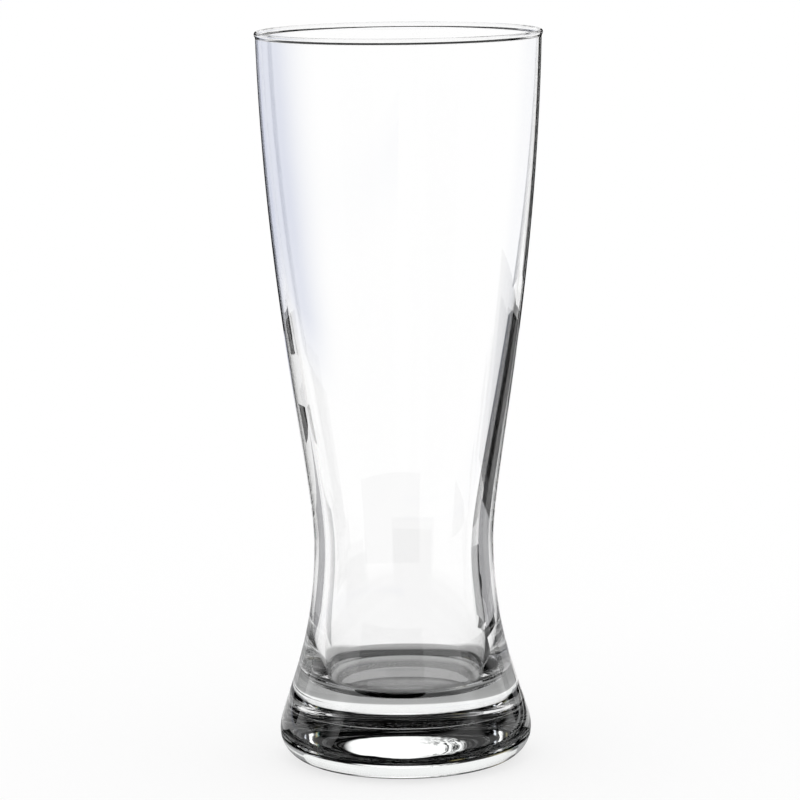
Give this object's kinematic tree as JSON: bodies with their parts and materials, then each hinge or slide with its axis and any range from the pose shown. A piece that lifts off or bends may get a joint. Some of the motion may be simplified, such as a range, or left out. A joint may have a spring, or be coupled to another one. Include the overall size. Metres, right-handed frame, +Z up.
{
  "type": "drinking glass",
  "caption": "Tall clear drinking glass with a flared bowl, a narrow waist and a heavy rounded base, for juice, beer and other cold drinks.",
  "frame": {"origin": "centre of the ring that the glass stands on, at table level", "axes": "+Z up along the glass's axis of revolution, towards the rim; X and Y are alike"},
  "size_m": [0.07, 0.07, 0.18],
  "materials": {
    "bowl_glass": "clear blown soda-lime glass, fire-polished",
    "base_glass": "clear pressed soda-lime glass, polished"
  },
  "bodies": {
    "root": {"bowl": "bowl_glass", "base": "base_glass"}
  },
  "joints": []
}
